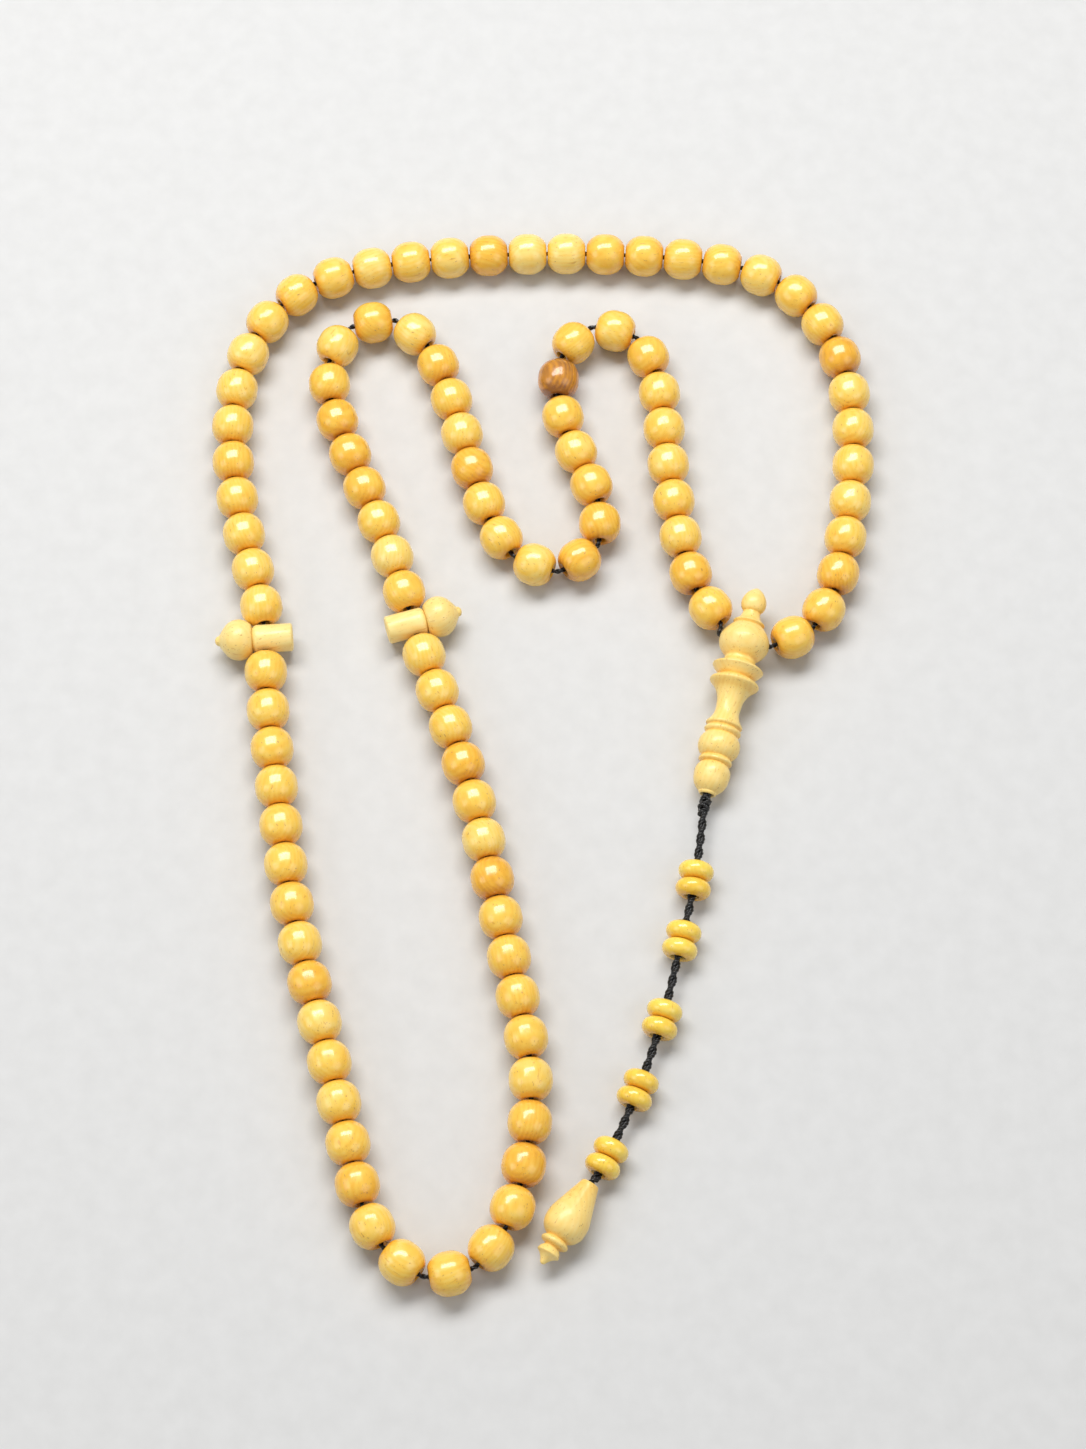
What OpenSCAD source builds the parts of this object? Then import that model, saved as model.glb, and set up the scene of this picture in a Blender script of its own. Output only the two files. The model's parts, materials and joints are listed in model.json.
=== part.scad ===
// Prayer beads laid out on a table: a string of round beads in three equal
// thirds, two separators between them, a turned head piece where the ends of
// the string meet, and a corded tail with disc beads and a turned end drop.

/* [Beads] */
// Diameter of a bead across its middle
bead_d = 8; // [7.6:0.1:10]
// Length of a bead along the string
bead_len = 7.4; // [6:0.1:9]
// Diameter of the flat on each end of a bead
bead_flat_d = 3.8; // [3.2:0.1:5]
// Diameter of the hole through a bead
bead_bore_d = 1.9; // [1.5:0.1:2.4]
// Clear gap between neighbouring beads
bead_gap = 0.2; // [0.15:0.05:0.6]

/* [String and cord] */
// Diameter of the string through the beads
string_d = 1; // [0.6:0.1:1.2]
// Diameter of the twisted cord of the tail
cord_d = 1.7; // [1.2:0.1:1.9]
// Length of string that shows between the head piece's ball and a bead
ball_gap = 0.9; // [0.6:0.1:2]
// Length of string that shows between a separator and a bead
pin_gap = 0.3; // [0.2:0.05:1]

/* [Separators] */
// Diameter of a separator's pin
pin_d = 5.3; // [4.4:0.1:7]
// Length of a pin from its cap to its free end
pin_len = 7.6; // [6.5:0.1:11]
// Distance from the cap to the string hole through the pin
pin_hole_from_cap = 2.4; // [2:0.1:3.2]
// Diameter of the string hole through a pin
pin_hole_d = 1.7; // [1.5:0.1:2.2]
// Diameter of a separator's cap
cap_d = 7.8; // [7:0.1:10]
// Length of a separator's cap
cap_len = 7; // [5.5:0.1:9]
// Diameter of the peg that holds a cap on its pin
peg_d = 2.4; // [2:0.1:3]
// Length of the peg
peg_len = 2.6; // [2:0.1:3.2]

/* [Head piece] */
// Length of the upper half, from its tip to the joint
upper_len = 18.4; // [16:0.1:23]
// Diameter of the ball that the string crosses
ball_d = 9.6; // [8.6:0.1:12]
// Diameter of the flange on the upper half
upper_flange_d = 9.7; // [8:0.1:12]
// Length of the lower half, from the joint to its mouth
lower_len = 23.6; // [20:0.1:29]
// Diameter of the flange on the lower half
lower_flange_d = 9.4; // [8:0.1:12]
// Diameter of the barrel on the lower half
barrel_d = 7.9; // [7:0.1:10]
// Diameter of the small ball at the mouth
end_ball_d = 6.7; // [5.6:0.1:8]
// Diameter of the hole down the middle for the string's two ends
core_bore_d = 2; // [1.9:0.1:2.3]
// Diameter of the spigot that joins the halves
spigot_d = 4.3; // [3.8:0.1:4.8]
// Length of the spigot
spigot_len = 3.4; // [2.5:0.1:3.8]
// Running clearance of pegs and spigots in their sockets, on the radius
socket_clearance = 0.05; // [0.03:0.01:0.1]

/* [Tail] */
// Diameter of the knot under the head piece
knot_d = 3; // [2.4:0.1:4]
// Diameter of a disc bead
disc_d = 6.6; // [5.6:0.1:8]
// Thickness of a disc bead
disc_t = 3.3; // [2.6:0.1:4]
// Diameter of the hole through a disc bead
disc_bore_d = 2.3; // [2.2:0.1:2.6]
// Clear gap between the two discs of a pair
disc_gap = 0.15; // [0.1:0.05:0.3]
// Diameter of the end drop across its belly
drop_d = 7.9; // [6.8:0.1:10]
// Length of the end drop
drop_len = 16.8; // [14.5:0.1:21]
// Diameter of the hole in the drop's mouth
drop_bore_d = 2.2; // [2.2:0.1:2.4]
// Depth of the hole in the drop's mouth
drop_bore_depth = 6; // [4:0.1:8]

/* [Hidden] */
third = 33;
singles = 3;
group_size = 9;
letters = ["a", "b", "c"];
two_digits = function (k) str(k < 10 ? "0" : "", k);
bead_name = function (t, k) str("bead_", letters[t], "_", two_digits(k));
group_name = function (t, g) str("beads_", letters[t], "_", two_digits(group_first(g)), "_to_",
                                 two_digits(group_first(g) + group_size - 1));
single_numbers = [each [1:singles], each [third - singles + 1:third]];
groups = (third - 2 * singles) / group_size;
function group_first(g) = singles + 1 + g * group_size;
disc_pairs = 5;
disc_name = function (i) str("disc_", floor(i / 2) + 1, i % 2 == 0 ? "_upper" : "_lower");

bead_color = [0.93, 0.76, 0.42];
turned_color = [0.96, 0.84, 0.58];
disc_color = [0.90, 0.70, 0.34];
string_color = [0.06, 0.06, 0.06];

$fn = 48;
cord_sides = 8;
arc_steps = 6;
chamfer = 0.3;
eps = 0.01;
least_belly = 0.8;
least_offset = 0.2;
knot_gap = 0.15;
end_clear = 0.6;
string_lead = 0.3;
cord_lead = 1.2;
mouth_lead = 1.5;
knot_clear = 0.05;

// Routes of the three thirds in plan, as chosen by hand, before they are scaled to what is threaded
// on them. Each starts and ends at the middle of a separator's pin or of the head piece's ball.
ball_at = [38, 30];
left_pin_at = [-50, 31];
right_pin_at = [-23, 34];
route_a = [
    [48, 29], [55, 39], [58, 55], [60, 72], [58, 92], [47, 107], [28, 111], [0, 112], [-28, 110],
    [-48, 104], [-57, 88], [-58, 70], [-55, 52], [-51, 39]
];
route_b = [
    [-50, 22], [-47, 0], [-44, -22], [-38, -44], [-33, -64], [-30, -78], [-24, -87], [-15, -90],
    [-7, -84], [-3, -73], [-1, -61], [-1, -49], [-4, -36], [-8, -16], [-12, 2], [-16, 14], [-20, 25]
];
route_c = [
    [-25, 42], [-30, 56], [-36, 70], [-40, 82], [-40, 92], [-33, 99], [-24, 97], [-19, 89],
    [-15, 76], [-12, 64], [-9, 55], [-5, 47], [3, 43], [11, 47], [13, 55], [9, 65], [5, 74],
    [3, 84], [5, 93], [12, 98], [20, 94], [23, 85], [24, 70], [26, 54], [29, 39]
];

// Route of the tail in plan, from the middle of the knot, as turns to the left in degrees and the
// free lengths of cord between the disc pairs.
head_heading = 256;
tail_turns = [7, -5, -1, -5, -4, -9];
free_lengths = [7, 5.2, 8.7, 7.2, 7, 5.7];

function flat(v) = [v.x, v.y];
function unit(v) = v / norm(v);
function heading(a) = [cos(a), sin(a)];
function angle_between(a, b) = acos(max(-1, min(1, unit(a) * unit(b))));
function sum_to(v, n) = n <= 0 ? 0 : v[n - 1] + sum_to(v, n - 1);

// Corner cutting makes a smooth curve of the chosen points.
function smooth(p, times) =
    times == 0 ? p :
    smooth([
        p[0],
        for (i = [0:len(p) - 2]) each [p[i] * 0.75 + p[i + 1] * 0.25, p[i] * 0.25 + p[i + 1] * 0.75],
        p[len(p) - 1]
    ], times - 1);

// Length along a line of points, from its start to each point
function lengths(p, i = 0, so_far = 0) =
    i >= len(p) - 1 ? [so_far] :
    [so_far, each lengths(p, i + 1, so_far + norm(p[i + 1] - p[i]))];
function whole_length(p) = lengths(p)[len(p) - 1];
function point_at(p, along, s) = [
    lookup(s, [for (i = [0:len(p) - 1]) [along[i], p[i].x]]),
    lookup(s, [for (i = [0:len(p) - 1]) [along[i], p[i].y]])
];

// A bead's flank is a narrow straight belly between two shoulder arcs, which end at the flats. The
// arcs' centres stay off the axis. A bead's reach is how far it extends when it is tilted.
flank_rise = (bead_d - bead_flat_d) / 2;
shoulder_r_most = bead_d / 2 - least_offset;
shoulder_most = sqrt(2 * flank_rise * shoulder_r_most - pow(flank_rise, 2));
belly_half = max(least_belly / 2, bead_len / 2 - shoulder_most);
shoulder_len = bead_len / 2 - belly_half;
shoulder_r = (pow(shoulder_len, 2) + pow(flank_rise, 2)) / (2 * flank_rise);
shoulder_centre = bead_d / 2 - shoulder_r;
flat_tilt = atan((bead_flat_d / 2 - shoulder_centre) / shoulder_len);
function bead_reach(tilt) =
    tilt < flat_tilt ? bead_len / 2 * cos(tilt) + bead_flat_d / 2 * sin(tilt) :
    belly_half * cos(tilt) + shoulder_centre * sin(tilt) + shoulder_r;
// String between a bead's end and the point where the string bends towards the next bead
function bend_room(bend) = (bead_reach(bend / 2) + bead_gap / 2) / cos(bend / 2) - bead_len / 2;

// What one third needs. The string bends between beads, each bend takes its own room, and each
// bead's share of the string is corrected until all have the same room between their neighbours.
ball_r = ball_d / 2;
pin_r = pin_d / 2;
rounds = 6;
function places(p, ends, v) =
    let (room = whole_length(p) - ends[0] - ends[1], all = sum_to(v, third))
    [for (j = [0:third]) ends[0] + room * sum_to(v, j) / all];
function points_at(p, at) = let (along = lengths(p)) [for (s = at) point_at(p, along, s)];
function bend(q, j) = j == 0 || j == third ? 0 : angle_between(q[j] - q[j - 1], q[j + 1] - q[j]);
function needs(q) = [for (j = [0:third - 1])
    (bend_room(bend(q, j)) + bead_len + bend_room(bend(q, j + 1))) / norm(q[j + 1] - q[j])];
function shares(p, ends, left = rounds) =
    left == 0 ? [for (j = [1:third]) 1] :
    let (v = shares(p, ends, left - 1), q = points_at(p, places(p, ends, v)), n = needs(q))
    [for (j = [0:third - 1]) v[j] * n[j]];
function needed_scale(p, ends) =
    let (all = whole_length(p), room = all - ends[0] - ends[1],
         worst = max(needs(points_at(p, places(p, ends, shares(p, ends))))))
    (room * worst + ends[0] + ends[1]) / all;

plan_a = smooth([ball_at, each route_a, left_pin_at], 4);
plan_b = smooth([left_pin_at, each route_b, right_pin_at], 4);
plan_c = smooth([right_pin_at, each route_c, ball_at], 4);
ends_a = [ball_r + ball_gap, pin_r + pin_gap];
ends_b = [pin_r + pin_gap, pin_r + pin_gap];
ends_c = [pin_r + pin_gap, ball_r + ball_gap];
route_scale = max(needed_scale(plan_a, ends_a), needed_scale(plan_b, ends_b),
                  needed_scale(plan_c, ends_c));

// Points at which the string bends, one before each bead and one after the last
function string_points(plan, ends) =
    let (p = plan * route_scale) points_at(p, places(p, ends, shares(p, ends)));
flat_thirds = [
    string_points(plan_a, ends_a), string_points(plan_b, ends_b), string_points(plan_c, ends_c)
];

// Turned outlines as [distance along, radius, rise of the arc to the next point] of each piece.
// The distances grow and shrink with the piece's own length.
upper_part = upper_len / 18.4;
lower_part = lower_len / 23.6;
drop_part = drop_len / 16.8;
cap_part = cap_len / 7;
ball_from_tip = 10.8 * upper_part;
flange_from_joint = 0.9;
barrel_from_joint = 13.8 * lower_part;
function stretched(stations, part) = [for (s = stations) [s[0] * part, s[1], s[2] * part]];
upper_outline = stretched([
    [0, 0.25, 0.35], [2.7, 2.35, 0.3], [4.9, 1.65, -0.35], [7.1, 3, 0.1], [7.7, 2.75, 0.25],
    [10.8, ball_r, 0.5], [14.2, 3.15, -0.15], [15.2, 3.1, -0.25],
    [16.3, upper_flange_d / 2 - 0.1, 0.15], [16.9, upper_flange_d / 2 - 0.1, 0], [18.4, 3.2, 0]
], upper_part);
lower_outline = stretched([
    [0, 3.2, 0], [0.8, lower_flange_d / 2 - 0.15, 0.15], [1.5, lower_flange_d / 2 - 0.1, -0.6],
    [5.9, 2.35, -0.45], [9.6, 3.5, 0.1], [10.1, 3.1, 0], [10.4, 3.15, 0.3], [11.5, 3.1, 0],
    [11.8, 3.1, 0.2], [13.8, barrel_d / 2, 0.25], [16.1, 2.9, 0], [16.4, 2.85, 0.45],
    [17.4, 2.6, 0], [17.6, 2.6, 0.3], [20.1, end_ball_d / 2, 0.4], [23.1, 1.7, 0],
    [23.6, 1.5, 0]
], lower_part);
drop_outline = stretched([
    [0, 1.65, 0], [6, 3.6, 0.15], [8.7, drop_d / 2, 0.45], [11.5, 2.2, 0], [11.7, 2.15, 0.6],
    [13, 1.9, 0], [13.3, 1.4, 0.1], [14.4, 2.1, 0.1], [14.8, 2, -0.15], [16.3, 0.6, 0.1],
    [16.8, 0.15, 0]
], drop_part);
cap_outline = stretched([
    [0, pin_r - 0.1, 0.2], [2.3, cap_d / 2, 0.45], [5.2, 2.5, 0], [6.2, 1.05, -0.05],
    [7, 0.55, 0]
], cap_part);

// Points of the outline, with each arc replaced by short chords
function arc_between(a, b, rise) =
    let (chord = [b[0] - a[0], b[1] - a[1]], side = unit([-chord[1], chord[0]]))
    rise == 0 ? [[a[0], a[1]]] :
    [for (i = [0:arc_steps - 1])
        let (t = i / arc_steps)
        [a[0], a[1]] + chord * t + side * 4 * rise * t * (1 - t)];
function outline_points(stations) = [
    for (i = [0:len(stations) - 2]) each arc_between(stations[i], stations[i + 1], stations[i][2]),
    [stations[len(stations) - 1][0], stations[len(stations) - 1][1]]
];

// A piece turned about +Z, from z = 0 upwards
module turned(stations) {
    points = outline_points(stations);
    rotate_extrude()
        polygon([
            [0, points[0][0]],
            for (p = points) [p[1], p[0]],
            [0, points[len(points) - 1][0]]
        ]);
}

// Stands +Z of the children along a direction
module aim(at, direction) {
    translate(at)
        rotate([0, acos(direction.z / norm(direction)), atan2(direction.y, direction.x)])
        children();
}

// The head piece rests on its lower flange and on its barrel, so its axis leans towards the mouth.
flange_from_tip = upper_len + flange_from_joint * lower_part;
barrel_from_tip = upper_len + barrel_from_joint;
head_lean = asin((lower_flange_d - barrel_d) / 2 / (barrel_from_tip - flange_from_tip));
head_axis = [
    cos(head_heading) * cos(head_lean), sin(head_heading) * cos(head_lean), -sin(head_lean)
];
cross_axis = [-sin(head_heading), cos(head_heading), 0];
ball_height = lower_flange_d / 2 * cos(head_lean) +
              (flange_from_tip - ball_from_tip) * sin(head_lean);
bead_height = bead_d / 2;

// The model's own frame has its origin under the middle of everything that lies on the table.
plan_ball = ball_at * route_scale;
knot_from_ball = upper_len + lower_len - ball_from_tip + knot_d / 2 + knot_gap;
plan_knot = plan_ball + flat(head_axis) * knot_from_ball;
function tail_heading(i) = head_heading + sum_to(tail_turns, i + 1);
pair_length = 2 * disc_t + disc_gap;
function tail_plan(i) =
    i < 0 ? plan_knot :
    tail_plan(i - 1) + heading(tail_heading(i)) * (free_lengths[i] + (i == 0 ? knot_d / 2 : 0)) +
    (i == disc_pairs ? [0, 0] : heading(tail_heading(i)) * pair_length / 2 +
                                heading(tail_heading(i + 1)) * pair_length / 2);
plan_mouth = tail_plan(disc_pairs);
drop_direction = heading(tail_heading(disc_pairs));
plan_tip = plan_mouth + drop_direction * drop_len;
all_plan = [for (t = flat_thirds) each t];
xs = [for (p = all_plan) p.x];
ys = [for (p = all_plan) p.y];
left_cap_reach = cap_len + pin_hole_from_cap;
left_end = min(min(xs) - bead_d / 2, left_pin_at.x * route_scale - left_cap_reach);
near_end = min(min(ys) - bead_d / 2, plan_tip.y);
middle = [
    (left_end + max(xs) + bead_d / 2) / 2,
    (near_end + max(ys) + bead_d / 2) / 2
];
function placed(p, z) = [p.x - middle.x, p.y - middle.y, z];

ball_centre = placed(plan_ball, ball_height);
// The string leaves the ball on both sides, straight out of its cross hole.
out_right = ball_centre + cross_axis * (ball_r + string_lead);
out_left = ball_centre - cross_axis * (ball_r + string_lead);
thirds = [for (t = [0:2]) [for (j = [0:third])
    placed(flat_thirds[t][j],
           (t == 0 && j == 0) || (t == 2 && j == third) ? (ball_height + bead_height) / 2 :
           bead_height)]];
// A bead stands off each bend by the room that the bend takes.
function bead_middle(t, k) =
    let (a = thirds[t][k - 1], b = thirds[t][k], q = flat_thirds[t])
    (a + b) / 2 + unit(b - a) * (bend_room(bend(q, k - 1)) - bend_room(bend(q, k))) / 2;
string_line = [
    ball_centre + cross_axis * string_d, out_right, each thirds[0], each thirds[1], each thirds[2],
    out_left, ball_centre - cross_axis * string_d
];

// A tube along a line of points, with its rings square to the line
function ring(line, i, r) =
    let (n = len(line), before = line[max(i - 1, 0)], after = line[min(i + 1, n - 1)],
         into = i == 0 ? unit(after - line[i]) : unit(line[i] - before),
         out = i == n - 1 ? into : unit(after - line[i]),
         along = unit(into + out), side = unit(cross([0, 0, 1], along)), up = cross(along, side))
    [for (k = [0:cord_sides - 1])
        let (a = 360 * (k + 0.5) / cord_sides)
        line[i] + side * r * cos(a) + up * r * sin(a)];
module tube(line, d) {
    n = len(line);
    points = [for (i = [0:n - 1]) each ring(line, i, d / 2)];
    faces = [
        [for (k = [0:cord_sides - 1]) k],
        for (i = [0:n - 2]) for (k = [0:cord_sides - 1])
            let (next = (k + 1) % cord_sides, a = i * cord_sides, b = a + cord_sides)
            each [[a + next, a + k, b + k], [a + next, b + k, b + next]],
        [for (k = [cord_sides - 1:-1:0]) (n - 1) * cord_sides + k]
    ];
    polyhedron(points, faces);
}

// One bead, lying along +Z about its own middle
module bead_solid() {
    mouth_r = bead_bore_d / 2 + chamfer;
    rotate_extrude()
        difference() {
            intersection() {
                union() {
                    for (s = [-1, 1])
                        translate([shoulder_centre, s * belly_half]) circle(shoulder_r);
                    translate([0, -belly_half]) square([bead_d / 2, 2 * belly_half]);
                }
                translate([bead_bore_d / 2, -bead_len / 2]) square([bead_d, bead_len]);
            }
            for (s = [-1, 1])
                polygon([
                    [0, s * (bead_len / 2 + eps)], [mouth_r + eps, s * (bead_len / 2 + eps)],
                    [0, s * (bead_len / 2 - mouth_r)]
                ]);
        }
}
module bead(t, k) {
    line = thirds[t];
    color(bead_color)
        aim(bead_middle(t, k), line[k] - line[k - 1])
        bead_solid();
}
module bead_group(t, g) {
    for (k = [group_first(g):group_first(g) + group_size - 1]) bead(t, k);
}

module main_string() {
    color(string_color) tube(string_line, string_d);
}

// The upper half of the head piece, with the ball that the string crosses
module head_upper() {
    color(turned_color)
        difference() {
            aim(ball_centre - head_axis * ball_from_tip, head_axis) turned(upper_outline);
            aim(ball_centre, cross_axis)
                cylinder(d = core_bore_d, h = ball_d + 2, center = true);
            aim(ball_centre, head_axis) cylinder(d = core_bore_d, h = upper_len);
            aim(ball_centre + head_axis * (upper_len - ball_from_tip - spigot_len - chamfer),
                head_axis)
                cylinder(r = spigot_d / 2 + socket_clearance, h = spigot_len + 1);
        }
}

// The lower half, with the spigot that holds it in the upper half and the mouth for the tail cord
joint_centre = ball_centre + head_axis * (upper_len - ball_from_tip);
module head_lower() {
    color(turned_color)
        aim(joint_centre, head_axis)
        difference() {
            union() {
                turned(lower_outline);
                translate([0, 0, -spigot_len]) cylinder(d = spigot_d, h = spigot_len + 1);
            }
            translate([0, 0, -spigot_len - 1])
                cylinder(d = core_bore_d, h = lower_len + spigot_len + 2);
        }
}

// The string's two ends, laid together down the middle of the head piece
module head_cord() {
    start = string_d / 2 + end_clear;
    color(string_color)
        tube([
            ball_centre + head_axis * start,
            ball_centre + head_axis * (upper_len + lower_len - ball_from_tip)
        ], cord_d);
}

// The tail starts at the knot and lies on the table from the first disc pair on.
knot_centre = ball_centre + head_axis * knot_from_ball;
disc_height = disc_d / 2;
drop_height = drop_d / 2;
function tail_height(i) = i < 0 ? knot_centre.z : i == disc_pairs ? drop_height : disc_height;
tail_corners = [for (i = [-1:disc_pairs]) placed(tail_plan(i), tail_height(i))];
function pair_centre(p) = tail_corners[p + 1];
function pair_axis(p) = unit(tail_corners[p + 2] - tail_corners[p]);
function cord_end(centre, axis, reach) = [centre - axis * reach, centre + axis * reach];
pair_hold = pair_length / 2 + cord_lead;
mouth_centre = tail_corners[disc_pairs + 1];
drop_axis = [drop_direction.x, drop_direction.y, 0];
tail_start = knot_centre + unit(tail_corners[1] - knot_centre) * (knot_d / 2 + knot_clear);
tail_line = [
    tail_start,
    for (p = [0:disc_pairs - 1]) each cord_end(pair_centre(p), pair_axis(p), pair_hold),
    mouth_centre - drop_axis * mouth_lead,
    mouth_centre + drop_axis * (drop_bore_depth - 1)
];

module tail_knot() {
    color(string_color) translate(knot_centre) sphere(d = knot_d);
}
module tail_cord() {
    color(string_color) tube(tail_line, cord_d);
}

// A disc bead with a half-round rim, lying along +Z about its own middle
module disc_solid() {
    rotate_extrude()
        difference() {
            union() {
                translate([disc_d / 2 - disc_t / 2, 0]) circle(d = disc_t);
                translate([0, -disc_t / 2]) square([disc_d / 2 - disc_t / 2, disc_t]);
            }
            translate([-1, -disc_t]) square([disc_bore_d / 2 + 1, 2 * disc_t]);
        }
}
module disc(i) {
    p = floor(i / 2);
    side = i % 2 == 0 ? -1 : 1;
    color(disc_color)
        aim(pair_centre(p) + pair_axis(p) * side * (disc_t + disc_gap) / 2, pair_axis(p))
        disc_solid();
}

module end_drop() {
    color(turned_color)
        aim(mouth_centre, drop_axis)
        difference() {
            turned(drop_outline);
            translate([0, 0, -1]) cylinder(d = drop_bore_d, h = drop_bore_depth + 1);
        }
}

// A separator lies level. Its string runs through the pin, and its cap points to one side: side is
// 1 for one side of the string's way, and -1 for the other.
function pin_centre(t) = (thirds[t][third] + thirds[t + 1][0]) / 2;
function pin_string(t) = unit(thirds[t + 1][0] - thirds[t][third]);
function cap_direction(t, side) = cross(pin_string(t), [0, 0, side]);
module separator_pin(t, side) {
    out = cap_direction(t, side);
    color(turned_color)
        difference() {
            aim(pin_centre(t) + out * (pin_hole_from_cap - pin_len), out)
                union() {
                    rotate_extrude()
                        polygon([
                            [0, 0], [pin_r - chamfer, 0], [pin_r, chamfer],
                            [pin_r, pin_len - 2 * chamfer], [pin_r - 2 * chamfer, pin_len],
                            [0, pin_len]
                        ]);
                    cylinder(d = peg_d, h = pin_len + peg_len);
                }
            aim(pin_centre(t), pin_string(t))
                cylinder(d = pin_hole_d, h = 2 * pin_d, center = true);
        }
}
module separator_cap(t, side) {
    out = cap_direction(t, side);
    color(turned_color)
        aim(pin_centre(t) + out * pin_hole_from_cap, out)
        difference() {
            turned(cap_outline);
            translate([0, 0, -1])
                cylinder(r = peg_d / 2 + socket_clearance, h = peg_len + 1 + chamfer);
        }
}
module left_separator_pin() { separator_pin(0, 1); }
module left_separator_cap() { separator_cap(0, 1); }
module right_separator_pin() { separator_pin(1, 1); }
module right_separator_cap() { separator_cap(1, 1); }

main_string();
head_upper();
head_lower();
head_cord();
tail_knot();
tail_cord();
end_drop();
left_separator_pin();
left_separator_cap();
right_separator_pin();
right_separator_cap();
for (i = [0:2 * disc_pairs - 1])
    disc(i);
for (t = [0:2]) for (k = single_numbers)
    bead(t, k);
for (t = [0:2]) for (g = [0:groups - 1])
    bead_group(t, g);
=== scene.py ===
import json
import math
import random

import bpy
from mathutils import Matrix, Vector


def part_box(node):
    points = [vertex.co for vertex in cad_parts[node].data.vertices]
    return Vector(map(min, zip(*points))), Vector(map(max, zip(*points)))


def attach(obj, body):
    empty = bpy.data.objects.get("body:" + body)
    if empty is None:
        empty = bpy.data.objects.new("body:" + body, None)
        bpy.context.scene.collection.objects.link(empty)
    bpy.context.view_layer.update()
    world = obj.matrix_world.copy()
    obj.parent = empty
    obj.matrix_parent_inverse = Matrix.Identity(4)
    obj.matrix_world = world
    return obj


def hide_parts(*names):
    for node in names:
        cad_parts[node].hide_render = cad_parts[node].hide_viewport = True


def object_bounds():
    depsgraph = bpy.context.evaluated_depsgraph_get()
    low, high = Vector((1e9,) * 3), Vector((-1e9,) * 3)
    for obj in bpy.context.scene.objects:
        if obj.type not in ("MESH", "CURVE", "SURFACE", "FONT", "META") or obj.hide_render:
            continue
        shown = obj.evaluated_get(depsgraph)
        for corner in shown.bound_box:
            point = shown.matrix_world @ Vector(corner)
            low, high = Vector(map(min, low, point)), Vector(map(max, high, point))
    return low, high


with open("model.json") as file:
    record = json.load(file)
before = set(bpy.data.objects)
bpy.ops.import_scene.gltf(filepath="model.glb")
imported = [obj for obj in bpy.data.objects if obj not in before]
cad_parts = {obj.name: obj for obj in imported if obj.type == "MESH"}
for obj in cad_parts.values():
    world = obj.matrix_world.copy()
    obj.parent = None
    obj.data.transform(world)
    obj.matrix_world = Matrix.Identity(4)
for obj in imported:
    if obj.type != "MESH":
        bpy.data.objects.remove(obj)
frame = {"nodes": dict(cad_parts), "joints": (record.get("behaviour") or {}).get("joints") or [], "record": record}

# Prayer beads: polished pale wood on a black string, laid out on a pale table.
# Lengths are written in millimetres and multiplied by MM where they are used.

cad_box = [list(corner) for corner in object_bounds()]
MM = 0.001
UP = Vector((0, 0, 1))
chance = random.Random(33)

joints = {joint["name"]: joint for joint in frame["joints"]}
nodes = frame["nodes"]


def joint_place(name):
    return Vector(joints[name]["pos_m"])


def joint_axis(name):
    return Vector(joints[name]["axis"]).normalized()


def middle_of(node):
    low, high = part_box(node)
    return (low + high) / 2


# ---------------------------------------------------------------- camera

low, high = (Vector(corner) for corner in cad_box)
target = Vector((0, (low.y + high.y) / 2 + 0.002, 0.004))
view_elevation = math.radians(68)
view_distance = 0.66
camera_data = bpy.data.cameras.new("camera")
camera_data.lens = 88
camera = bpy.data.objects.new("camera", camera_data)
bpy.context.scene.collection.objects.link(camera)
line_of_sight = Vector((0, -math.cos(view_elevation), math.sin(view_elevation)))
camera.location = target + line_of_sight * view_distance
camera.rotation_euler = line_of_sight.to_track_quat("Z", "Y").to_euler()
bpy.context.scene.camera = camera
bpy.context.scene.view_settings.view_transform = "Standard"


# ---------------------------------------------------------------- where the beads are

BEAD_LENGTH = 7.4
BEAD_WIDTH = 8.0
FLAT_WIDTH = 3.8
BEAD_BORE = 1.9
BELLY = 0.8
THIRDS = "abc"
FIRST_BEAD_SIDE = 5


def islands(mesh):
    """Groups of faces that hang together, found from the places of their corners."""
    owner = {}

    def root(key):
        while owner[key] != key:
            owner[key] = owner[owner[key]]
            key = owner[key]
        return key

    keys = [tuple(round(x, 7) for x in vertex.co) for vertex in mesh.vertices]
    for key in keys:
        owner.setdefault(key, key)
    for face in mesh.polygons:
        first = root(keys[face.vertices[0]])
        for corner in face.vertices[1:]:
            owner[root(keys[corner])] = first
    groups = {}
    for face in mesh.polygons:
        groups.setdefault(root(keys[face.vertices[0]]), []).append(face)
    return list(groups.values())


def bead_place(mesh, faces):
    """A bead's middle, and its axis from the two flat ends, which lie half its length away."""
    corners = [mesh.vertices[i].co for face in faces for i in face.vertices]
    centre = Vector([(min(c[k] for c in corners) + max(c[k] for c in corners)) / 2 for k in range(3)])
    axis = Vector()
    for face in faces:
        reach = (face.center - centre).dot(face.normal)
        if abs(reach - BEAD_LENGTH / 2 * MM) < 0.03 * MM:
            sign = 1 if not axis.length or face.normal.dot(axis) > 0 else -1
            axis += face.normal * sign * face.area
    return centre, axis.normalized()


def beads_of_third(letter, start):
    """(node, middle, axis) of a third's beads in order, with each axis along the string's way."""
    grouped = []
    for name, obj in nodes.items():
        if not name.startswith((f"bead_{letter}_", f"beads_{letter}_")):
            continue
        first = int(name.split("_")[2])
        places = [bead_place(obj.data, faces) for faces in islands(obj.data)]
        grouped.append((first, name, places))
    ordered = []
    here = start
    for first, name, places in sorted(grouped):
        left = list(places)
        while left:
            nearest = min(left, key=lambda place: (place[0] - here).length)
            left.remove(nearest)
            centre, axis = nearest
            way = centre - here
            ordered.append((name, centre, axis if axis.dot(way) > 0 else -axis))
            here = centre
    return ordered


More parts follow.
